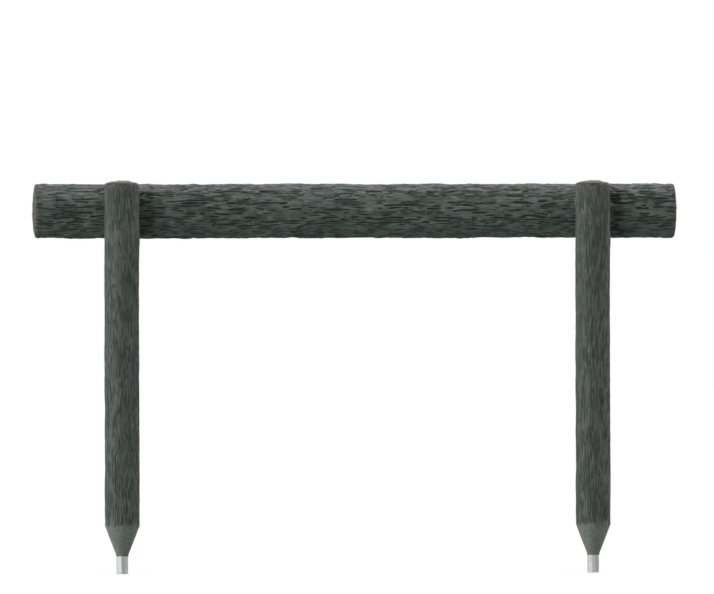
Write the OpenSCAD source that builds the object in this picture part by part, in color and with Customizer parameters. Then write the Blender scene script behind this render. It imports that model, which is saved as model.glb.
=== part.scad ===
// Garden log step: one bark-moulded plastic log held by two pointed stakes.
// The stakes are driven into the ground in front of the log, and a coach screw
// from behind ties each stake to it. Millimetres, +Z up, +X along the log.
// The origin is the centre of the lower end of the left stake's steel core.

/* [Log] */
// Diameter of the log over its bark
log_d = 100; // [85:1:140]
// Length of the log from end to end
log_l = 1200; // [1000:10:2000]
// Radius of the rounded rim at each end of the log
log_rim_r = 5; // [2:1:14]
// Height of the bulge of each end face
log_crown = 3.5; // [0.5:0.5:6]

/* [Stakes] */
// Diameter of a stake over its bark
stake_d = 65; // [55:1:90]
// Length of a stake's plastic body, from its crown to the end of its point
stake_l = 695; // [500:1:1000]
// Length of log that stands out past a stake's axis at each end
log_overhang = 162.5; // [60:0.5:250]
// Height of a stake's crown above the top of the log
stake_rise = 6; // [0:1:30]
// Depth of the saddle in the back of a stake that seats the log
seat_depth = 4; // [2:0.5:8]
// Radius of the rounded rim at a stake's top
stake_rim_r = 5; // [2:1:14]
// Height of the bulge of a stake's top
stake_crown = 4; // [0.5:0.5:8]
// Length of the cone at a stake's foot
point_l = 56; // [30:1:120]
// Plastic left round the core at the end of the cone
point_wall = 0.8; // [0.5:0.1:4]

/* [Core pipes] */
// Outside diameter of the steel pipe in a stake
core_d = 21.7; // [17.3:0.1:27.2]
// Wall of the pipe
core_wall = 2; // [1.2:0.1:3.2]
// Length of pipe that stands out below the point
core_reach = 33; // [15:1:80]
// Plastic between the pipe's upper end and the crown
core_cover = 110; // [100:5:300]
// Bevel round the pipe's lower end
core_bevel = 0.8; // [0.4:0.1:1.1]

/* [Coach screws] */
// Diameter of a screw's shank
screw_d = 10; // [8:1:12]
// Depth that a screw bites into its stake
screw_bite = 45; // [25:1:50]
// Length of the screw's tapered tip
screw_tip = 12; // [6:1:20]
// Diameter of the end of the tip
screw_tip_d = 2.5; // [1:0.5:5]
// Width of the six-sided head across its flats
head_af = 17; // [14:1:20]
// Height of the head
head_h = 7; // [5:0.5:9]
// How much narrower than its flats the round top of the head is
head_bevel = 1; // [0.5:0.5:3]
// Diameter of the washer under the head
washer_d = 28; // [24:1:34]
// Thickness of the washer
washer_t = 2.5; // [1.5:0.5:4]
// Slack of the screw in the log and the washer, on the diameter
screw_slack = 1; // [0.5:0.5:2]
// Diameter of the pocket in the back of the log
pocket_d = 32; // [30:1:44]
// Depth of the pocket, from the log's back to the washer
pocket_depth = 14; // [12:1:20]

/* [Bark] */
// Distance between rows of furrows round the log
log_furrow_pitch = 12; // [9:1:20]
// Length of a furrow in the log
log_furrow_l = 68; // [40:2:140]
// Width of a furrow in the log
log_furrow_w = 5; // [3:0.5:8]
// Depth of a furrow in the log
log_furrow_depth = 3; // [1:0.5:4]
// Distance between rows of furrows round a stake
stake_furrow_pitch = 10; // [8:1:16]
// Length of a furrow in a stake
stake_furrow_l = 58; // [30:2:120]
// Width of a furrow in a stake
stake_furrow_w = 4; // [2:0.5:6]
// Depth of a furrow in a stake
stake_furrow_depth = 2; // [1:0.5:3]
// Smooth bark left round each seat and pocket
bare_margin = 12; // [6:1:20]

/* [Hidden] */
$fn = 96;

bark_green = [0.28, 0.31, 0.285];
zinc_grey = [0.72, 0.74, 0.73];
screw_grey = [0.62, 0.63, 0.63];

// Steps in the arc of a rim or a crown
arc_steps = 8;
// How far a furrow's share of its row runs past its own length
furrow_gap = 1.12;
// Largest change of a furrow from its nominal size, as a share
furrow_spread = 0.3;
// Largest lean of a furrow off the grain, in degrees
furrow_lean = 3;
// How far the cutter of a hole or furrow stands out of the surface
cut_past = 0.5;
log_seed = 7;
stake_seeds = [21, 43];

left_x = 0;
right_x = log_l - 2 * log_overhang;
log_x = right_x / 2;
log_y = stake_d / 2 + log_d / 2 - seat_depth;
stake_top = core_reach + stake_l;
log_z = stake_top - stake_rise - log_d / 2;
core_top = stake_top - core_cover;
point_end_d = core_d + 2 * point_wall;
washer_y = log_y + log_d / 2 - pocket_depth;
screw_end_y = log_y - log_d / 2 - screw_bite;
head_d = head_af / cos(30);

// Points of a quarter-round rim of radius r at corner [x, z], from the flank up to the end face
function rim(x, z, r) =
    [for (i = [0 : arc_steps]) let (a = 90 * i / arc_steps) [x - r + r * cos(a), z - r + r * sin(a)]];

// Points of a shallow crown of height h, from radius x in to the axis
function crown(x, z, h) =
    let (ball = (x * x + h * h) / (2 * h), sweep = asin(x / ball))
    [for (i = [1 : arc_steps]) let (a = sweep * (1 - i / arc_steps))
        [ball * sin(a), z + h - ball * (1 - cos(a))]];

// Half outline of a round end: a rim and a crown that stop at height z
function round_end(d, z, rim_r, crown_h) =
    concat(rim(d / 2, z - crown_h, rim_r), crown(d / 2 - rim_r, z - crown_h, crown_h));

// Mirrors an outline's points about z = 0 and runs them backwards
function mirrored(points) =
    [for (i = [len(points) - 1 : -1 : 0]) [points[i][0], -points[i][1]]];

// One bark furrow on the flank of a round bar of radius r: a long pit with a V section
// that narrows to a point at both ends, as the cutter that makes it.
module furrow(r, length, width, depth) {
    out = cut_past;
    grow = (depth + out) / depth;
    points = [
        [r + out, 0, -grow * length / 2], [r + out, 0, grow * length / 2],
        [r + out, -grow * width / 2, 0], [r + out, grow * width / 2, 0],
        [r - depth, 0, 0], [r + out + depth, 0, 0],
    ];
    faces = [
        [0, 4, 2], [2, 4, 1], [1, 4, 3], [3, 4, 0],
        [0, 2, 5], [2, 1, 5], [1, 3, 5], [3, 0, 5],
    ];
    polyhedron(points, faces);
}

// True where a furrow at height z and angle a would run into one of the smooth patches.
// A patch is [height, angle, radius], on the flank of a bar of diameter d.
function bare(d, z, a, length, patches) =
    len([for (p = patches)
        let (turn = abs((a - p[1] + 540) % 360 - 180), round_about = turn * PI * d / 360)
        if (abs(z - p[0]) < p[2] + length / 2 && round_about < p[2]) 1]) > 0;

// Staggered rows of furrows round a bar of diameter d, between two heights.
// A furrow that would run past either height is cut short there.
module bark_furrows(d, low, high, pitch, length, width, depth, seed, patches) {
    rows = round(PI * d / pitch);
    step = length * furrow_gap;
    count = ceil((high - low) / step) + 1;
    for (row = [0 : rows - 1], i = [0 : count - 1]) {
        luck = rands(-1, 1, 5, seed * 1000 + row * 100 + i);
        stagger = (row % 2 == 0 ? 0 : -step / 2) + luck[0] * step * furrow_spread / 2;
        centre = low + (i + 0.5) * step + stagger;
        long = length * (1 + luck[1] * furrow_spread);
        from = max(low, centre - long / 2);
        to = min(high, centre + long / 2);
        angle = 360 / rows * (row + luck[2] * furrow_spread / 2);
        if (to - from > 3 * width && !bare(d, (from + to) / 2, angle, to - from, patches))
            rotate([0, 0, angle]) translate([0, 0, (from + to) / 2])
                rotate([furrow_lean * luck[3], 0, 0])
                    furrow(d / 2, to - from, width, depth * (1 + luck[4] * furrow_spread));
    }
}

// Puts a bar that stands on z = 0 along the log's axis, with its angle 0 facing the stakes
module along_log() {
    translate([log_x, log_y, log_z]) rotate([0, 90, 0]) rotate([0, 0, -90]) children();
}

module step_log() {
    outline = round_end(log_d, log_l / 2, log_rim_r, log_crown);
    seats = [for (x = [left_x, right_x]) [x - log_x, 0, stake_d / 4 + bare_margin]];
    pockets = [for (x = [left_x, right_x]) [x - log_x, 180, pocket_d / 2 + bare_margin / 2]];
    color(bark_green)
    difference() {
        along_log() difference() {
            rotate_extrude() polygon(concat(outline, mirrored(outline)));
            bark_furrows(log_d, -log_l / 2 + log_rim_r, log_l / 2 - log_rim_r,
                log_furrow_pitch, log_furrow_l, log_furrow_w, log_furrow_depth,
                log_seed, concat(seats, pockets));
        }
        for (x = [left_x, right_x]) translate([x, 0, log_z]) rotate([-90, 0, 0]) {
            cylinder(d = screw_d + screw_slack, h = log_y + log_d / 2);
            translate([0, 0, washer_y]) cylinder(d = pocket_d, h = pocket_depth + cut_past);
        }
    }
}

// A stake: crowned top, barked shaft and a plain cone, bored from below for its core.
// Its back has a saddle for the log and a hole that the screw bites into.
module stake(x, seed) {
    top = round_end(stake_d, stake_top, stake_rim_r, stake_crown);
    foot = [[0, core_reach], [point_end_d / 2, core_reach], [stake_d / 2, core_reach + point_l]];
    seat_patch = [log_z, 90, sqrt(log_d * seat_depth) + bare_margin];
    color(bark_green)
    translate([x, 0, 0])
    difference() {
        rotate_extrude() polygon(concat(foot, top));
        bark_furrows(stake_d, core_reach + point_l, stake_top - stake_crown - stake_rim_r,
            stake_furrow_pitch, stake_furrow_l, stake_furrow_w, stake_furrow_depth,
            seed, [seat_patch]);
        translate([0, 0, core_reach - cut_past])
            cylinder(d = core_d, h = core_top - core_reach + cut_past);
        translate([-stake_d, log_y, log_z]) rotate([0, 90, 0])
            cylinder(d = log_d, h = 2 * stake_d);
        translate([0, screw_end_y, log_z]) screw_shank(stake_d);
    }
}

// Steel pipe moulded into a stake, bevelled round its lower end
module core_pipe(x) {
    outer_r = core_d / 2;
    inner_r = outer_r - core_wall;
    color(zinc_grey)
    translate([x, 0, 0])
    rotate_extrude() polygon([
        [inner_r, 0], [outer_r - core_bevel, 0], [outer_r, core_bevel],
        [outer_r, core_top], [inner_r, core_top],
    ]);
}

// A coach screw's tapered tip and shank, from its end towards +Y
module screw_shank(length) {
    rotate([-90, 0, 0]) rotate_extrude() polygon([
        [0, 0], [screw_tip_d / 2, 0], [screw_d / 2, screw_tip],
        [screw_d / 2, length], [0, length],
    ]);
}

// A coach screw: its shank runs up into a six-sided head with bevelled corners
module coach_screw(x) {
    head_y = washer_y + washer_t;
    color(screw_grey)
    translate([x, 0, log_z]) {
        translate([0, screw_end_y, 0]) screw_shank(head_y - screw_end_y + head_h / 2);
        translate([0, head_y, 0]) rotate([-90, 0, 0]) intersection() {
            cylinder(d = head_d, h = head_h, $fn = 6);
            cylinder(d1 = head_af + 2 * head_h, d2 = head_af - head_bevel, h = head_h);
        }
    }
}

module washer(x) {
    color(screw_grey)
    translate([x, washer_y, log_z]) rotate([-90, 0, 0]) difference() {
        cylinder(d = washer_d, h = washer_t);
        translate([0, 0, -cut_past])
            cylinder(d = screw_d + screw_slack, h = washer_t + 2 * cut_past);
    }
}

step_log();
stake(left_x, stake_seeds[0]);  // left_stake
stake(right_x, stake_seeds[1]);  // right_stake
core_pipe(left_x);  // left_core_pipe
core_pipe(right_x);  // right_core_pipe
coach_screw(left_x);  // left_coach_screw
coach_screw(right_x);  // right_coach_screw
washer(left_x);  // left_washer
washer(right_x);  // right_washer
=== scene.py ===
import math

import bpy
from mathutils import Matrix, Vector


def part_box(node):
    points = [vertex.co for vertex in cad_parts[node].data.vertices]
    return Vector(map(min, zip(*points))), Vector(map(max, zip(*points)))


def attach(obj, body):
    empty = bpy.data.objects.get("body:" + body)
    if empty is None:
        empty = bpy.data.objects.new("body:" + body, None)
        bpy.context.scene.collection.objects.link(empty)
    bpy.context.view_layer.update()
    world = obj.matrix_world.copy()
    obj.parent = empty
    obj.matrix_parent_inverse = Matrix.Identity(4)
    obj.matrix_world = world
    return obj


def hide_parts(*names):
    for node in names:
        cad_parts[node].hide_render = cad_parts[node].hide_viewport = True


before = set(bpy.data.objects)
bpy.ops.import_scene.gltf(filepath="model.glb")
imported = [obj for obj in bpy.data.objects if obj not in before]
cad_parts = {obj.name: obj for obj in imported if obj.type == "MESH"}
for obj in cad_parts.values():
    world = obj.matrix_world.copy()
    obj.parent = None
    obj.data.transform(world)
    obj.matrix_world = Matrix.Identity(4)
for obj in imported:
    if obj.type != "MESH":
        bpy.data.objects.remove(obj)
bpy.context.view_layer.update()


# Core pipes. A galvanised steel pipe runs up inside each stake and stands out of its point.
# The stake is moulded round it, so only the lower end shows, bright with zinc
# that is streaked along the drawn pipe and dulled by a thin grey bloom.

pipe_zinc = (0.345, 0.360, 0.354)
pipe_zinc_dark = (0.265, 0.279, 0.273)
pipe_bloom = (0.31, 0.323, 0.32)
pipe_crystal_size = 0.0036
pipe_crystal_stretch = 9.0
zinc_bloom_share = 0.5
zinc_bump_height = 0.00008
zinc_bump_strength = 0.6


def node(tree, kind, **settings):
    made = tree.nodes.new(kind)
    for name, value in settings.items():
        setattr(made, name, value)
    return made


def feed(tree, socket, value):
    """Joins an output socket to an input, or sets the input to a plain value."""
    if isinstance(value, bpy.types.NodeSocket):
        tree.links.new(value, socket)
    else:
        socket.default_value = value


def fed(tree, made, values):
    """Feeds values to a node's inputs in their order, and returns its first output."""
    for socket, value in zip(made.inputs, values):
        feed(tree, socket, value)
    return made.outputs[0]


def math_node(tree, operation, *values):
    return fed(tree, node(tree, "ShaderNodeMath", operation=operation), values)


def vector_node(tree, operation, *values):
    return fed(tree, node(tree, "ShaderNodeVectorMath", operation=operation), values)


def ramp(tree, value, low, high, to_low=0.0, to_high=1.0, smooth=True):
    """Maps value from low..high to to_low..to_high, held at both ends."""
    made = node(tree, "ShaderNodeMapRange", clamp=True)
    made.interpolation_type = "SMOOTHSTEP" if smooth else "LINEAR"
    for name, number in (("Value", value), ("From Min", low), ("From Max", high),
                         ("To Min", to_low), ("To Max", to_high)):
        feed(tree, made.inputs[name], number)
    return made.outputs["Result"]


def noise(tree, place, scale, detail=2.0, roughness=0.5):
    made = node(tree, "ShaderNodeTexNoise")
    for name, value in (("Vector", place), ("Scale", scale), ("Detail", detail), ("Roughness", roughness)):
        feed(tree, made.inputs[name], value)
    return made.outputs["Fac"]


def mix_colour(tree, share, first, second, blend="MIX"):
    """Mixes two colours. A Mix node's colour sockets come after those for numbers and vectors."""
    made = node(tree, "ShaderNodeMix", data_type="RGBA", blend_type=blend)
    for socket, value in zip((made.inputs[0], made.inputs[6], made.inputs[7]), (share, first, second)):
        if isinstance(value, tuple):
            value = (*value, 1.0)
        feed(tree, socket, value)
    return made.outputs[2]


def tree_sockets(tree, inputs, outputs):
    """Gives a node group its named sockets, and returns what it is given and what it puts out."""
    for in_out, sockets in (("INPUT", inputs), ("OUTPUT", outputs)):
        for name, kind in sockets:
            tree.interface.new_socket(name, in_out=in_out, socket_type="NodeSocket" + kind)
    return node(tree, "NodeGroupInput").outputs, node(tree, "NodeGroupOutput").inputs


def set_looks(group, looks):
    """Sets a shader group's inputs to plain numbers and colours, by their names."""
    for name, value in looks.items():
        socket = group.inputs[name.replace("_", " ").title()]
        socket.default_value = (*value, 1.0) if isinstance(value, tuple) else value


def principled(name):
    """A new material, with its tree and its Principled shader."""
    material = bpy.data.materials.new(name)
    material.use_nodes = True
    return material, material.node_tree, material.node_tree.nodes["Principled BSDF"]


def finish_shader(tree, shader, group, bump_height, bump_strength):
    """Feeds a group's colour, roughness and height to the shader."""
    feed(tree, shader.inputs["Base Color"], group.outputs["Colour"])
    feed(tree, shader.inputs["Roughness"], group.outputs["Roughness"])
    bump = node(tree, "ShaderNodeBump")
    bump.inputs["Strength"].default_value = bump_strength
    bump.inputs["Distance"].default_value = bump_height
    feed(tree, bump.inputs["Height"], group.outputs["Height"])
    feed(tree, shader.inputs["Normal"], bump.outputs["Normal"])


def zinc_group():
    """Zinc coating: crystals that differ in tone and gloss, under a patchy grey bloom."""
    bloom_scale, grain_scale = 90.0, 1400.0
    dark_roughness, bright_roughness = 0.74, 0.62
    tree = bpy.data.node_groups.new("zinc coating", "ShaderNodeTree")
    given, result = tree_sockets(
        tree,
        [("Where", "Vector"), ("Crystal Size", "Float"), ("Bloom", "Float"), ("Bright", "Color"),
         ("Dark", "Color"), ("Bloom Colour", "Color")],
        [("Colour", "Color"), ("Roughness", "Float"), ("Height", "Float")],
    )
    crystals = node(tree, "ShaderNodeTexVoronoi", voronoi_dimensions="3D", feature="F1")
    feed(tree, crystals.inputs["Vector"], given["Where"])
    feed(tree, crystals.inputs["Scale"], math_node(tree, "DIVIDE", 1.0, given["Crystal Size"]))
    tone = node(tree, "ShaderNodeSeparateColor")
    feed(tree, tone.inputs["Color"], crystals.outputs["Color"])
    crystal = ramp(tree, tone.outputs[0], 0.1, 0.9, smooth=False)
    patches = ramp(tree, noise(tree, given["Where"], bloom_scale, detail=4.0), 0.42, 0.64)
    bloom = math_node(tree, "MULTIPLY", patches, given["Bloom"])
    metal = mix_colour(tree, crystal, given["Dark"], given["Bright"])
    feed(tree, result["Colour"], mix_colour(tree, bloom, metal, given["Bloom Colour"]))
    rough = ramp(tree, crystal, 0.0, 1.0, dark_roughness, bright_roughness, smooth=False)
    feed(tree, result["Roughness"], math_node(tree, "MULTIPLY_ADD", bloom, 0.2, rough))
    grain = noise(tree, given["Where"], grain_scale)
    feed(tree, result["Height"], math_node(tree, "MULTIPLY_ADD", crystal, 0.4, grain))
    return tree


zinc_coating = zinc_group()


def zinc_material(name, stretch, **looks):
    """Zinc on steel, its crystals drawn out along Z. looks are the inputs of the zinc coating."""
    material, tree, shader = principled(name)
    where = node(tree, "ShaderNodeTexCoord").outputs["Object"]
    coating = node(tree, "ShaderNodeGroup", node_tree=zinc_coating)
    drawn_out = vector_node(tree, "MULTIPLY", where, (1.0, 1.0, 1.0 / stretch))
    feed(tree, coating.inputs["Where"], drawn_out)
    set_looks(coating, looks)
    shader.inputs["Metallic"].default_value = 1.0
    finish_shader(tree, shader, coating, zinc_bump_height, zinc_bump_strength)
    return material


def coat(names, material):
    """Gives CAD nodes a material and leaves their shapes as they are."""
    for name in names:
        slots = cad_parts[name].data.materials
        slots.clear()
        slots.append(material)


pipe_steel = zinc_material(
    "galvanised pipe", pipe_crystal_stretch, crystal_size=pipe_crystal_size, bloom=zinc_bloom_share,
    bright=pipe_zinc, dark=pipe_zinc_dark, bloom_colour=pipe_bloom)
coat(("left_core_pipe", "right_core_pipe"), pipe_steel)


# Stakes. Each stake is one moulding of dark green-grey recycled plastic round its core
# pipe: a crowned top, a shaft with fine upright bark, and a smooth paler cone.
# A saddle in its back seats the log.

# Ridge colours: pale patches, and painted highlights on the raised bark plates
stake_ridge = (0.0815, 0.0888, 0.0845)
stake_body = (0.0445, 0.0570, 0.0468)
# Painted shade: the stake's grooves are darkened towards this colour
stake_groove_shade = (0.0292, 0.0395, 0.0318)
stake_point = (0.1345, 0.1542, 0.1302)
stake_top = (0.077, 0.077, 0.073)
# Painted light from above: the bark is paled towards this neutral colour near the top
bark_top_light = (0.117, 0.111, 0.117)
bark_top_light_share = 0.80
bark_cool = (0.97, 1.01, 1.01)
bark_olive = (1.03, 1.03, 0.88)
bark_sheen = 0.24
bark_bump_strength = 0.8

stake_low, stake_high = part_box("left_stake")
core_low, core_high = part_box("left_core_pipe")
log_low, log_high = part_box("step_log")
stake_r = (stake_high.x - stake_low.x) / 2
core_r = (core_high.x - core_low.x) / 2
log_r = (log_high.z - log_low.z) / 2
log_y = (log_high.y + log_low.y) / 2
log_z = (log_high.z + log_low.z) / 2
stake_crown = 0.004
stake_rim_r = 0.005
# Length at the stake's top over which light from above is painted
stake_top_light_l = 0.012
stake_bare_top = 0.006
point_l = 0.056
point_wall = 0.0008
point_lip = 0.003
point_bark_l = 0.003
stake_row_step = 0.003
stake_sides = 300


def vector(tree, *parts):
    return fed(tree, node(tree, "ShaderNodeCombineXYZ"), parts)


def round_place(tree, angle, radius, height):
    """The point at an angle, a radius and a height about Z."""
    x = math_node(tree, "MULTIPLY", math_node(tree, "COSINE", angle), radius)
    y = math_node(tree, "MULTIPLY", math_node(tree, "SINE", angle), radius)
    return vector(tree, x, y, height)


def rim_and_crown(radius, end, rim_r, crown):
    """Outline from the axis at height end, over a shallow crown and a round rim, down to the flank."""
    crown_steps, rim_steps = 9, 6
    flat_r = radius - rim_r
    ball_r = (flat_r ** 2 + crown ** 2) / (2 * crown)
    points = []
    for i in range(crown_steps):
        r = flat_r * i / crown_steps
        points.append((r, end - ball_r + math.sqrt(ball_r ** 2 - r ** 2)))
    for i in range(rim_steps + 1):
        a = math.pi / 2 * (1 - i / rim_steps)
        points.append((flat_r + rim_r * math.cos(a), end - crown - rim_r + rim_r * math.sin(a)))
    return points


def straight(start, stop, step):
    """Points after start, up to stop, about step apart."""
    count = max(1, round(math.dist(start, stop) / step))
    return [tuple(a + (b - a) * i / count for a, b in zip(start, stop)) for i in range(1, count + 1)]


def outline_object(name, points):
    """A chain of edges in the XZ plane, X being the radius and Z the height along the bar."""
    mesh = bpy.data.meshes.new(name)
    mesh.from_pydata([(r, 0.0, z) for r, z in points], [(i, i + 1) for i in range(len(points) - 1)], [])
    made = bpy.data.objects.new(name, mesh)
    bpy.context.scene.collection.objects.link(made)
    return made


def bark_pattern_tree():
    """Bark on a round bar, drawn by angle and height. Grooves run along the bar a strip apart, wander
    a little and break up into dashes, each groove for itself. Finer grooves lie between them,
    and the strips step up and down in plates with blunt ends."""
    seed_spread, line_spread, strip_spread, strip_row = 51.7, 7.31, 5.77, 3.3
    tree = bpy.data.node_groups.new("bark pattern", "GeometryNodeTree")
    given, result = tree_sockets(
        tree,
        [("Angle", "Float"), ("Height", "Float"), ("Radius", "Float"), ("Strip Width", "Float"),
         ("Dash Length", "Float"), ("Groove Share", "Float"), ("Wander", "Float"), ("Seed", "Float")],
        [("Groove", "Float"), ("Bulge", "Float"), ("Fibre", "Float")],
    )
    radius_in_strips = math_node(tree, "DIVIDE", given["Radius"], given["Strip Width"])
    strips = math_node(tree, "ROUND", math_node(tree, "MULTIPLY", radius_in_strips, math.tau))
    dash = math_node(tree, "DIVIDE", given["Height"], given["Dash Length"])
    dash = math_node(tree, "MULTIPLY_ADD", given["Seed"], seed_spread, dash)
    place = round_place(tree, given["Angle"], radius_in_strips, dash)
    wander = noise(tree, vector_node(tree, "MULTIPLY", place, (0.5, 0.5, 0.4)), 1.0, detail=1.0)
    wander = math_node(tree, "MULTIPLY", wander, given["Wander"])
    turns = math_node(tree, "DIVIDE", given["Angle"], math.tau)
    across = math_node(tree, "MULTIPLY_ADD", turns, strips, wander)

    # Main grooves first, then the finer ones half a strip further on
    groove, nearest = 0.0, 1.0
    for offset, weight, line_row in ((0.0, 1.0, 0.37), (0.5, 0.75, 10.37)):
        line_place = math_node(tree, "ADD", across, offset)
        away = math_node(tree, "SUBTRACT", math_node(tree, "FRACT", line_place), 0.5)
        away = math_node(tree, "ABSOLUTE", away)
        line = math_node(tree, "FLOORED_MODULO", math_node(tree, "FLOOR", line_place), strips)
        row = vector(tree, math_node(tree, "MULTIPLY", line, line_spread), line_row, dash)
        presence = ramp(tree, noise(tree, row, 1.0, detail=1.0), 0.46, 0.56)
        width = ramp(tree, presence, 0.0, 1.0, 0.4, 1.0, smooth=False)
        width = math_node(tree, "MULTIPLY", given["Groove Share"], width)
        cut = ramp(tree, away, math_node(tree, "MULTIPLY", width, 0.25), width, weight, 0.0)
        groove = math_node(tree, "MAXIMUM", groove, math_node(tree, "MULTIPLY", cut, presence))
        gap = math_node(tree, "MULTIPLY_ADD", math_node(tree, "SUBTRACT", 1.0, presence), 0.3, away)
        nearest = math_node(tree, "MINIMUM", nearest, gap)
    feed(tree, result["Groove"], groove)

    # Plates that bulge between the grooves, and fibres all over
    strip = math_node(tree, "FLOOR", math_node(tree, "ADD", across, 0.5))
    strip = math_node(tree, "FLOORED_MODULO", strip, strips)
    strip_place = vector(tree, math_node(tree, "MULTIPLY", strip, strip_spread), strip_row, dash)
    plate = ramp(tree, noise(tree, strip_place, 0.8, detail=0.0), 0.46, 0.54, 0.5, 1.0)
    feed(tree, result["Bulge"], math_node(tree, "MULTIPLY", ramp(tree, nearest, 0.0, 0.24), plate))
    fibre = noise(tree, vector_node(tree, "MULTIPLY", place, (2.4, 2.4, 1.0)), 1.0, detail=3.0)
    feed(tree, result["Fibre"], ramp(tree, fibre, 0.3, 0.7, -1.0, 1.0, smooth=False))
    return tree


bark_pattern = bark_pattern_tree()


def shape_node(tree, kind, geometry, inputs=(), **settings):
    """Adds a node that works on a geometry, with its other inputs as pairs of name and value."""
    made = node(tree, kind, **settings)
    for name, value in (("Geometry", geometry), *inputs):
        feed(tree, made.inputs[name], value)
    return made.outputs[0]


def finish_geometry(tree, geometry, material, result):
    """Ends a tree: realizes its instances, sets the material and puts the geometry out."""
    real = shape_node(tree, "GeometryNodeRealizeInstances", geometry)
    coated = shape_node(tree, "GeometryNodeSetMaterial", real, [("Material", material)])
    feed(tree, result["Geometry"], coated)


def barked_bar_tree():
    """Turns an outline about Z, raises bark on its flank and lays the bar in its place."""
    wave_scale, ragged_scale, lump_scale = 14.0, 120.0, 90.0
    ragged_reach = 0.016
    seam_gap = 0.000005
    tree = bpy.data.node_groups.new("barked bar", "GeometryNodeTree")
    given, result = tree_sockets(
        tree,
        [("Geometry", "Geometry"), ("Sides", "Int"), ("Radius", "Float"), ("Strip Width", "Float"),
         ("Dash Length", "Float"), ("Groove Share", "Float"), ("Wander", "Float"), ("Groove Depth", "Float"),
         ("Bulge Height", "Float"), ("Fibre Height", "Float"), ("Wave Height", "Float"), ("Sink", "Float"),
         ("Bark From", "Float"), ("Bark To", "Float"), ("Low Fade", "Float"), ("High Fade", "Float"),
         ("Low Relief", "Float"), ("High Relief", "Float"), ("Seed", "Float"), ("Turn", "Rotation"),
         ("Place", "Vector"), ("Seat Y", "Float"), ("Seat Z", "Float"),
         ("Seat Radius", "Float"), ("Material", "Material")],
        [("Geometry", "Geometry")],
    )

    # A grid with one row for each outline point and one column for each side
    rows = node(tree, "GeometryNodeAttributeDomainSize", component="MESH")
    feed(tree, rows.inputs[0], given["Geometry"])
    rows = rows.outputs["Point Count"]
    sheet = node(tree, "GeometryNodeMeshGrid")
    for name, value in (("Size X", 1.0), ("Size Y", 1.0), ("Vertices X", rows),
                        ("Vertices Y", math_node(tree, "ADD", given["Sides"], 1.0))):
        feed(tree, sheet.inputs[name], value)
    flat = node(tree, "ShaderNodeSeparateXYZ")
    feed(tree, flat.inputs[0], node(tree, "GeometryNodeInputPosition").outputs[0])
    row_share = math_node(tree, "ADD", flat.outputs["X"], 0.5)
    last_row = math_node(tree, "SUBTRACT", rows, 1.0)
    row = math_node(tree, "ROUND", math_node(tree, "MULTIPLY", row_share, last_row))
    outline_point = shape_node(
        tree, "GeometryNodeSampleIndex", given["Geometry"],
        [("Value", node(tree, "GeometryNodeInputPosition").outputs[0]), ("Index", row)],
        data_type="FLOAT_VECTOR", domain="POINT")
    profile = node(tree, "ShaderNodeSeparateXYZ")
    feed(tree, profile.inputs[0], outline_point)
    radius, height = profile.outputs["X"], profile.outputs["Z"]
    turn_share = math_node(tree, "ADD", flat.outputs["Y"], 0.5)
    angle = math_node(tree, "MULTIPLY", turn_share, math.tau)

    # Bark heights, faded out raggedly towards both ends of the barked length
    flank_place = round_place(tree, angle, given["Radius"], height)
    drawn = node(tree, "GeometryNodeGroup", node_tree=bark_pattern)
    feed(tree, drawn.inputs["Angle"], angle)
    feed(tree, drawn.inputs["Height"], height)
    for name in ("Radius", "Strip Width", "Dash Length", "Groove Share", "Wander", "Seed"):
        feed(tree, drawn.inputs[name], given[name])
    groove, bulge, fibre = (drawn.outputs[name] for name in ("Groove", "Bulge", "Fibre"))
    wave = noise(tree, flank_place, wave_scale, detail=3.0, roughness=0.55)
    wave = ramp(tree, wave, 0.25, 0.75, -1.0, 1.0, smooth=False)
    ragged = math_node(tree, "SUBTRACT", noise(tree, flank_place, ragged_scale), 0.5)
    above = math_node(tree, "MULTIPLY_ADD", ragged, ragged_reach, height)
    below = math_node(tree, "MULTIPLY_ADD", ragged, -ragged_reach, height)
    full_from = math_node(tree, "ADD", given["Bark From"], given["Low Fade"])
    low_stop = ramp(tree, above, given["Bark From"], full_from)
    full_to = math_node(tree, "SUBTRACT", given["Bark To"], given["High Fade"])
    high_stop = ramp(tree, below, full_to, given["Bark To"], 1.0, 0.0)
    near_flank = ramp(tree, math_node(tree, "DIVIDE", radius, given["Radius"]), 0.72, 0.98)
    barked = ramp(tree, math_node(tree, "MULTIPLY", low_stop, high_stop), 0.0, 0.25)
    barked = math_node(tree, "MULTIPLY", barked, near_flank)
    groove = math_node(tree, "MULTIPLY", groove, barked)
    rise = math_node(tree, "MULTIPLY", math_node(tree, "MULTIPLY", groove, given["Groove Depth"]), -1.0)
    for part, scale in ((math_node(tree, "SUBTRACT", bulge, 0.5), "Bulge Height"), (fibre, "Fibre Height")):
        lift = math_node(tree, "MULTIPLY", math_node(tree, "MULTIPLY", part, given[scale]), barked)
        rise = math_node(tree, "ADD", rise, lift)
    wave = math_node(tree, "SUBTRACT", math_node(tree, "MULTIPLY", wave, given["Wave Height"]), given["Sink"])
    rise = math_node(tree, "ADD", rise, math_node(tree, "MULTIPLY", wave, near_flank))
    full_radius = math_node(tree, "ADD", radius, rise)

    # Lumps on the end faces, along the bar
    face_place = round_place(tree, angle, radius, height)
    lumps = ramp(tree, noise(tree, face_place, lump_scale), 0.3, 0.7, -1.0, 1.0, smooth=False)
    low_end, high_end = (math_node(tree, "SUBTRACT", 1.0, stop) for stop in (low_stop, high_stop))
    relief = math_node(tree, "MULTIPLY", high_end, given["High Relief"])
    relief = math_node(tree, "MULTIPLY_ADD", low_end, given["Low Relief"], relief)
    on_face = math_node(tree, "SUBTRACT", 1.0, near_flank)
    lumps = math_node(tree, "MULTIPLY", lumps, math_node(tree, "MULTIPLY", on_face, relief))

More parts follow.
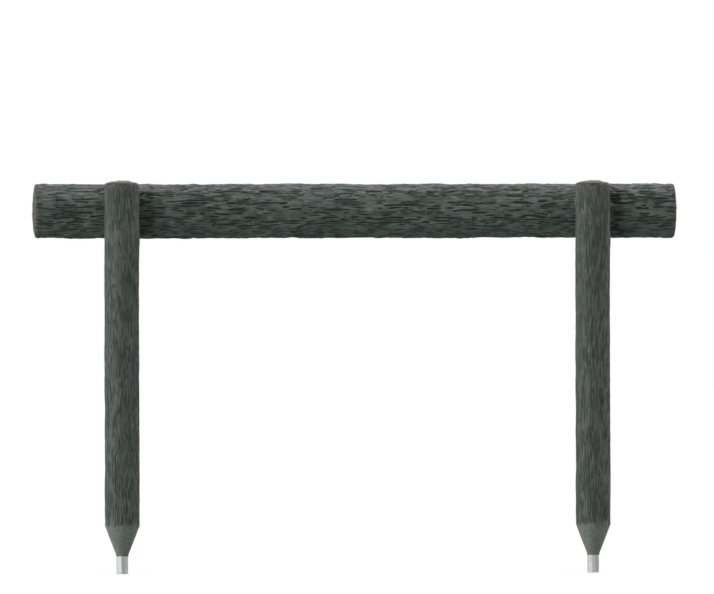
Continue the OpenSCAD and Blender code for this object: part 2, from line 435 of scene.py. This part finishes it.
    # Round the outline, and press the seat into the back
    x = math_node(tree, "MULTIPLY", math_node(tree, "COSINE", angle), full_radius)
    y = math_node(tree, "MULTIPLY", math_node(tree, "SINE", angle), full_radius)
    from_seat = math_node(tree, "SUBTRACT", height, given["Seat Z"])
    seat_square = math_node(tree, "POWER", given["Seat Radius"], 2.0)
    reach = math_node(tree, "SUBTRACT", seat_square, math_node(tree, "POWER", from_seat, 2.0))
    half_chord = math_node(tree, "SQRT", math_node(tree, "MAXIMUM", reach, 0.0))
    seat_y = math_node(tree, "SUBTRACT", given["Seat Y"], half_chord)
    in_seat = math_node(tree, "GREATER_THAN", reach, 0.0)
    pressed = math_node(tree, "SUBTRACT", math_node(tree, "MINIMUM", y, seat_y), y)
    y = math_node(tree, "MULTIPLY_ADD", in_seat, pressed, y)
    turned = vector(tree, x, y, math_node(tree, "ADD", height, lumps))

    # Keep what the material reads, then close the seam and lay the bar
    shape = sheet.outputs["Mesh"]
    bulge = math_node(tree, "MULTIPLY", bulge, barked)
    for name, value in (("groove", groove), ("bulge", bulge), ("low_end", low_end), ("high_end", high_end)):
        shape = shape_node(
            tree, "GeometryNodeStoreNamedAttribute", shape, [("Name", name), ("Value", value)],
            data_type="FLOAT", domain="POINT")
    shape = shape_node(tree, "GeometryNodeSetPosition", shape, [("Position", turned)])
    shape = shape_node(tree, "GeometryNodeMergeByDistance", shape, [("Distance", seam_gap)])
    shape = shape_node(tree, "GeometryNodeSetShadeSmooth", shape, domain="FACE")
    shape = shape_node(
        tree, "GeometryNodeTransform", shape, [("Translation", given["Place"]), ("Rotation", given["Turn"])])
    finish_geometry(tree, shape, given["Material"], result)
    return tree


barked_bar = barked_bar_tree()


def add_tree(made, tree, **values):
    """Gives an object a Geometry Nodes modifier and sets its inputs by their identifiers."""
    modifier = made.modifiers.new(tree.name, "NODES")
    modifier.node_group = tree
    identifiers = {item.name: item.identifier for item in tree.interface.items_tree if item.in_out == "INPUT"}
    for name, value in values.items():
        modifier[identifiers[name.replace("_", " ").title()]] = value


def plain_mesh(name, made):
    """Turns an object with modifiers into one with a plain mesh, and removes the first."""
    bpy.context.view_layer.update()
    depsgraph = bpy.context.evaluated_depsgraph_get()
    mesh = bpy.data.meshes.new_from_object(
        made.evaluated_get(depsgraph), preserve_all_data_layers=True, depsgraph=depsgraph)
    mesh.name = name
    piece = bpy.data.objects.new(name, mesh)
    bpy.context.scene.collection.objects.link(piece)
    bpy.data.objects.remove(made)
    return piece


def scaled(tree, colour, share):
    made = node(tree, "ShaderNodeVectorMath", operation="SCALE")
    feed(tree, made.inputs[0], colour)
    feed(tree, made.inputs["Scale"], share)
    return made.outputs[0]


def grain_noise(tree, grain, across, along, detail, roughness=0.5):
    """Noise with so many waves in a metre across the grain and along it, the grain being Z."""
    drawn_out = vector_node(tree, "MULTIPLY", grain, (across, across, along))
    return noise(tree, drawn_out, 1.0, detail, roughness)


def bark_finish_group():
    """Moulded bark plastic: painted shade darkens the grooves and painted highlights pale the raised plates,
    in dim and pale patches from cool grey to olive, with fine fibre lines along Z of its coordinates, and
    painted light from above pales the top. The bare ends are specked, the low one more faintly, and each is
    darkened by painted shade to its own strength."""
    speck_scale = 210.0
    tree = bpy.data.node_groups.new("bark finish", "ShaderNodeTree")
    given, result = tree_sockets(
        tree,
        [("Grain", "Vector"), ("Groove", "Float"), ("Bulge", "Float"), ("Low End", "Float"),
         ("High End", "Float"), ("Ridge Colour", "Color"), ("Body Colour", "Color"),
         ("Groove Colour", "Color"), ("Low End Colour", "Color"), ("High End Colour", "Color"),
         ("Low End Shade", "Float"), ("High End Shade", "Float"), ("Shade From", "Float"),
         ("Shade To", "Float"), ("Top Light", "Float")],
        [("Colour", "Color"), ("Roughness", "Float"), ("Height", "Float")],
    )
    grain = given["Grain"]
    fibre = grain_noise(tree, grain, 420.0, 60.0, detail=4.0, roughness=0.6)
    fine = grain_noise(tree, grain, 1300.0, 160.0, detail=3.0)

    # The plain flank: dim and pale patches, each with a cool or an olive cast
    mottle = grain_noise(tree, grain, 80.0, 34.0, detail=3.0)
    pale = ramp(tree, mottle, 0.48, 0.66, 0.0, 0.55)
    dim = ramp(tree, mottle, 0.34, 0.50, 0.60, 1.0)
    colour = mix_colour(tree, pale, scaled(tree, given["Body Colour"], dim), given["Ridge Colour"])
    cast = ramp(tree, grain_noise(tree, grain, 26.0, 12.0, detail=3.0), 0.40, 0.62)
    colour = mix_colour(tree, 1.0, colour, mix_colour(tree, cast, bark_cool, bark_olive), "MULTIPLY")

    # Painted highlights on the raised plates, painted light from above, fibre lines and painted shade in the
    # grooves
    # Painted highlights: pale dashes and paler raised plates, as if catching the light
    dashes = ramp(tree, grain_noise(tree, grain, 210.0, 36.0, detail=2.0), 0.53, 0.66)
    plate_highlight = math_node(tree, "MULTIPLY_ADD", ramp(tree, fibre, 0.42, 0.66), 0.35, dashes)
    plate_highlight = math_node(tree, "MULTIPLY", plate_highlight, ramp(tree, given["Bulge"], 0.3, 0.9))
    plate_highlight = math_node(tree, "MULTIPLY_ADD", ramp(tree, given["Bulge"], 0.5, 0.95), 0.24, plate_highlight)
    colour = mix_colour(tree, plate_highlight, colour, given["Ridge Colour"])
    # Painted light from above: pale streaks on the plates towards the top
    top_lit = math_node(tree, "MULTIPLY", given["Top Light"], ramp(tree, fibre, 0.36, 0.62, 0.15, 1.0))
    top_lit = math_node(tree, "MULTIPLY", top_lit, ramp(tree, given["Bulge"], 0.15, 0.8, 0.35, 1.0))
    colour = mix_colour(tree, top_lit, colour, bark_top_light)
    colour = scaled(tree, colour, ramp(tree, fine, 0.35, 0.6, 0.86, 1.05))
    # Painted shade: the grooves are darkened towards the groove shade colour
    colour = mix_colour(tree, ramp(tree, given["Groove"], 0.05, 0.75), colour, given["Groove Colour"])

    # Bare ends, each darkened towards its face by painted shade
    specks = ramp(tree, noise(tree, grain, speck_scale, detail=3.0), 0.38, 0.52, 0.50, 1.08)
    faint = math_node(tree, "MULTIPLY_ADD", specks, 0.4, 0.6)
    for end, tone in (("Low End", faint), ("High End", specks)):
        share = math_node(tree, "MULTIPLY", given[end], ramp(tree, given["Groove"], 0.0, 0.6, 1.0, 0.4))
        colour = mix_colour(tree, share, colour, scaled(tree, given[end + " Colour"], tone))
        # Painted shade: the end faces and crowns, which the lamps light brightly, are darkened
        shade = ramp(tree, given[end], given["Shade From"], given["Shade To"], 1.0, given[end + " Shade"])
        colour = scaled(tree, colour, shade)
    feed(tree, result["Colour"], colour)
    rough = ramp(tree, fibre, 0.3, 0.7, 0.70, 0.52)
    feed(tree, result["Roughness"], math_node(tree, "MULTIPLY_ADD", given["Groove"], 0.2, rough))
    height = math_node(tree, "MULTIPLY_ADD", fine, 0.4, fibre)
    feed(tree, result["Height"], math_node(tree, "MULTIPLY_ADD", specks, 0.5, height))
    return tree


bark_finish = bark_finish_group()


def bark_material(name, turn, bump_height, top_light_from, top_light_to, **looks):
    """Bark plastic, its grain turned along the bar and its bark painted paler, as light from above, from one
    height up to another.
    looks are the other inputs of the bark finish."""
    material, tree, shader = principled(name)
    where = node(tree, "ShaderNodeTexCoord").outputs["Object"]
    grain = node(tree, "ShaderNodeMapping")
    grain.inputs["Rotation"].default_value = turn
    feed(tree, grain.inputs["Vector"], where)
    finish = node(tree, "ShaderNodeGroup", node_tree=bark_finish)
    feed(tree, finish.inputs["Grain"], grain.outputs[0])
    for socket in ("Groove", "Bulge", "Low End", "High End"):
        attribute = socket.lower().replace(" ", "_")
        read = node(tree, "ShaderNodeAttribute", attribute_type="GEOMETRY", attribute_name=attribute)
        feed(tree, finish.inputs[socket], read.outputs["Fac"])
    height = node(tree, "ShaderNodeSeparateXYZ")
    feed(tree, height.inputs[0], where)
    # Painted light from above: paler from one height up to the top
    top_light = ramp(tree, height.outputs["Z"], top_light_from, top_light_to, 0.0, bark_top_light_share)
    feed(tree, finish.inputs["Top Light"], top_light)
    set_looks(finish, looks)
    shader.inputs["Specular IOR Level"].default_value = bark_sheen
    finish_shader(tree, shader, finish, bump_height, bark_bump_strength)
    return material


stake_bark = bark_material(
    "stake bark", turn=(0.0, 0.0, 0.0), bump_height=0.0005,
    top_light_from=stake_high.z - stake_top_light_l, top_light_to=stake_high.z,
    ridge_colour=stake_ridge, body_colour=stake_body, groove_colour=stake_groove_shade,
    low_end_colour=stake_point, high_end_colour=stake_top,
    # painted shade on the stake's crown, which the lamps light brightly
    low_end_shade=1.0, high_end_shade=0.45, shade_from=0.95, shade_to=1.0)

for name, seed in (("left_stake", 3.0), ("right_stake", 6.0)):
    low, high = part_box(name)
    shoulder = (stake_r, high.z - stake_crown - stake_rim_r)
    point_top = (stake_r, low.z + point_l)
    point_end_r = core_r + point_wall
    outline = rim_and_crown(stake_r, high.z, stake_rim_r, stake_crown)
    outline += straight(shoulder, point_top, stake_row_step)
    outline += straight(point_top, (point_end_r, low.z + point_lip), stake_row_step)
    outline += [(point_end_r, low.z), (core_r, low.z), (core_r, core_high.z), (0.0, core_high.z)]
    bar = outline_object(name + "_outline", outline)
    add_tree(
        bar, barked_bar, sides=stake_sides, radius=stake_r, strip_width=0.0048, dash_length=0.024,
        groove_share=0.22, wander=0.7, groove_depth=0.0006, bulge_height=0.0005, fibre_height=0.0003,
        wave_height=0.0010, sink=0.0005, bark_from=point_top[1] - point_bark_l,
        bark_to=high.z - stake_bare_top, low_fade=0.010, high_fade=0.022, low_relief=0.0,
        high_relief=0.0008, seed=seed, turn=(0.0, 0.0, 0.0), place=((low.x + high.x) / 2, 0.0, 0.0),
        seat_y=log_y, seat_z=log_z, seat_radius=log_r, material=stake_bark)
    stake = plain_mesh(name.replace("_", "_bark_"), bar)
    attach(stake, "root")
    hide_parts(name)


# Log. The step itself is one thick moulded log with coarse bark along its length,
# round rims and slightly bulged ends. Two pockets in its back take the heads
# of the screws that hold it to the stakes.

# Ridge colours: pale patches, and painted highlights on the raised bark plates
log_ridge = (0.1090, 0.1250, 0.1175)
log_body = (0.0430, 0.0630, 0.0518)
# Painted shade: the log's grooves are darkened towards this colour
log_groove_shade = (0.0185, 0.0285, 0.0214)
log_end = (0.078, 0.078, 0.075)
log_half = (log_high.x - log_low.x) / 2
log_crown = 0.0035
log_rim_r = 0.005
# Height above the log's axis where the painted light from above begins
log_top_light_rise = 0.2 * log_r
log_bark_past_end = 0.006
log_row_step = 0.0044
log_sides = 320
log_turn = (0.0, math.radians(90), 0.0)
pocket_r = 0.016
pocket_past_back = 0.005
washer_boxes = [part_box(name) for name in ("left_washer", "right_washer")]
pocket_floor_y = washer_boxes[0][0].y
left_head, right_head = ((low + high) / 2 for low, high in washer_boxes)


def pocketed_log_tree():
    """Bores two round pockets with flat floors, along Y, into the back of the log."""
    borer_sides = 64
    tree = bpy.data.node_groups.new("pocketed log", "GeometryNodeTree")
    given, result = tree_sockets(
        tree,
        [("Geometry", "Geometry"), ("First", "Vector"), ("Spacing", "Float"), ("Radius", "Float"),
         ("Depth", "Float"), ("Material", "Material")],
        [("Geometry", "Geometry")],
    )
    borer = node(tree, "GeometryNodeMeshCylinder", fill_type="NGON")
    borer.inputs["Vertices"].default_value = borer_sides
    for name in ("Radius", "Depth"):
        feed(tree, borer.inputs[name], given[name])
    half_depth = math_node(tree, "MULTIPLY", given["Depth"], 0.5)
    lying = shape_node(
        tree, "GeometryNodeTransform", borer.outputs["Mesh"],
        [("Translation", vector(tree, 0.0, half_depth, 0.0)), ("Rotation", (math.radians(90), 0.0, 0.0))])
    places = node(tree, "GeometryNodeMeshLine", mode="OFFSET")
    places.inputs["Count"].default_value = 2
    feed(tree, places.inputs["Start Location"], given["First"])
    feed(tree, places.inputs["Offset"], vector(tree, given["Spacing"], 0.0, 0.0))
    borers = node(tree, "GeometryNodeInstanceOnPoints")
    feed(tree, borers.inputs["Points"], places.outputs[0])
    feed(tree, borers.inputs["Instance"], lying)
    cut = node(tree, "GeometryNodeMeshBoolean", operation="DIFFERENCE", solver="EXACT")
    feed(tree, cut.inputs[0], given["Geometry"])
    feed(tree, cut.inputs[1], shape_node(tree, "GeometryNodeRealizeInstances", borers.outputs[0]))
    crisp = shape_node(
        tree, "GeometryNodeSetShadeSmooth", cut.outputs["Mesh"],
        [("Selection", cut.outputs["Intersecting Edges"]), ("Shade Smooth", False)], domain="EDGE")
    finish_geometry(tree, crisp, given["Material"], result)
    return tree


pocketed_log = pocketed_log_tree()
log_bark = bark_material(
    "log bark", turn=log_turn, bump_height=0.0008, top_light_from=log_z + log_top_light_rise, top_light_to=log_high.z,
    ridge_colour=log_ridge, body_colour=log_body, groove_colour=log_groove_shade,
    low_end_colour=log_end, high_end_colour=log_end,
    # painted shade on the log's end faces, which the lamps light brightly
    low_end_shade=0.5, high_end_shade=0.5, shade_from=0.68, shade_to=0.86)

log_cap = rim_and_crown(log_r, log_half, log_rim_r, log_crown)
flank_end = log_half - log_crown - log_rim_r
outline = log_cap + straight((log_r, flank_end), (log_r, -flank_end), log_row_step)
outline += [(r, -z) for r, z in reversed(log_cap[:-1])]
bar = outline_object("log_outline", outline)
add_tree(
    bar, barked_bar, sides=log_sides, radius=log_r, strip_width=0.0090, dash_length=0.020,
    groove_share=0.20, wander=1.5, groove_depth=0.0028, bulge_height=0.0016, fibre_height=0.0011,
    wave_height=0.0012, sink=0.0005, bark_from=-log_half - log_bark_past_end,
    bark_to=log_half + log_bark_past_end, low_fade=0.034, high_fade=0.034, low_relief=0.0008,
    high_relief=0.0008, seed=5.0, turn=log_turn, place=((log_low.x + log_high.x) / 2, log_y, log_z),
    seat_y=0.0, seat_z=0.0, seat_radius=0.0, material=log_bark)
add_tree(
    bar, pocketed_log, first=(left_head.x, pocket_floor_y, left_head.z), spacing=right_head.x - left_head.x,
    radius=pocket_r, depth=log_high.y + pocket_past_back - pocket_floor_y, material=log_bark)
log = plain_mesh("step_bark_log", bar)
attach(log, "root")
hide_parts("step_log")


# Screws and washers. Steel coach screws with a washer under each head, driven from behind
# and sunk in the log's pockets. Their zinc plating is brighter and finer than the coat
# on the pipes, and isn't streaked.

screw_zinc = (0.50, 0.51, 0.515)
screw_zinc_dark = (0.40, 0.41, 0.42)
screw_bloom = (0.42, 0.425, 0.42)
screw_crystal_size = 0.0022
screw_crystal_stretch = 1.0

screw_steel = zinc_material(
    "zinc-plated screws", screw_crystal_stretch, crystal_size=screw_crystal_size, bloom=zinc_bloom_share,
    bright=screw_zinc, dark=screw_zinc_dark, bloom_colour=screw_bloom)
coat(("left_washer", "right_washer", "left_coach_screw", "right_coach_screw"), screw_steel)


# Floor, light and camera. A plain floor that shows white and throws little light back up, in soft daylight:
# a wide box overhead, a key from the left, and weaker light from the left front, the right and behind.
# The view is level, a little left of square on.

floor_tone = (0.15, 0.15, 0.15)
floor_glow = 0.83
floor_reach = 40.0
sky_light = 0.11
daylight = (0.97, 0.985, 1.0)


def seen_rays(tree):
    """1 for rays that show the floor or the sky: straight to the camera, mirrored or through glass."""
    rays = node(tree, "ShaderNodeLightPath").outputs
    mirrored = math_node(tree, "MAXIMUM", rays["Is Glossy Ray"], rays["Is Transmission Ray"])
    return math_node(tree, "MAXIMUM", rays["Is Camera Ray"], mirrored)


corners = [(x * floor_reach, y * floor_reach, 0.0) for x, y in ((-1, -1), (1, -1), (1, 1), (-1, 1))]
floor_mesh = bpy.data.meshes.new("floor")
floor_mesh.from_pydata(corners, [], [(0, 1, 2, 3)])
floor = bpy.data.objects.new("floor", floor_mesh)
bpy.context.scene.collection.objects.link(floor)
floor_material, tree, shader = principled("studio floor")
shader.inputs["Base Color"].default_value = (*floor_tone, 1.0)
shader.inputs["Roughness"].default_value = 0.9
shader.inputs["Specular IOR Level"].default_value = 0.0
glow = node(tree, "ShaderNodeEmission")
feed(tree, glow.inputs["Strength"], math_node(tree, "MULTIPLY", seen_rays(tree), floor_glow))
both = node(tree, "ShaderNodeAddShader")
feed(tree, both.inputs[0], shader.outputs[0])
feed(tree, both.inputs[1], glow.outputs[0])
feed(tree, tree.nodes["Material Output"].inputs["Surface"], both.outputs[0])
floor_mesh.materials.append(floor_material)

world = bpy.data.worlds.new("studio")
bpy.context.scene.world = world
world.use_nodes = True
tree = world.node_tree
background = tree.nodes["Background"]
background.inputs["Color"].default_value = (1.0, 1.0, 1.0, 1.0)
feed(tree, background.inputs["Strength"], ramp(tree, seen_rays(tree), 0.0, 1.0, sky_light, 1.0, smooth=False))

for name, towards, strength, spread in (
        ("overhead softbox", (0.0, 0.28, 0.96), 2.3, 50),
        ("left key", (-0.98, -0.12, 0.10), 3.0, 40),
        ("front fill", (-0.58, -0.80, 0.12), 2.25, 30),
        ("right rim", (0.92, -0.06, 0.38), 1.9, 40),
        ("back fill", (0.25, 0.93, 0.27), 1.2, 40)):
    lamp = bpy.data.lights.new(name, "SUN")
    lamp.energy = strength
    lamp.color = daylight
    lamp.angle = math.radians(spread)
    lamp_object = bpy.data.objects.new(name, lamp)
    lamp_object.rotation_euler = Vector(towards).to_track_quat("Z", "Y").to_euler()
    bpy.context.scene.collection.objects.link(lamp_object)

photo_w = 714
focal_px = 10745.0
view_distance = 20.0
view_left = math.radians(3.77)
view_roll = math.radians(0.10)
view_centre = Vector((0.4414, log_y, 0.5119))
camera = bpy.data.cameras.new("camera")
camera.sensor_fit = "HORIZONTAL"
camera.sensor_width = 36.0
camera.lens = focal_px / photo_w * camera.sensor_width
camera_object = bpy.data.objects.new("camera", camera)
camera_object.location = view_centre - view_distance * Vector((math.sin(view_left), math.cos(view_left), 0.0))
camera_object.rotation_euler = (math.radians(90), view_roll, -view_left)
bpy.context.scene.collection.objects.link(camera_object)
bpy.context.scene.camera = camera_object
bpy.context.scene.view_settings.view_transform = "Standard"
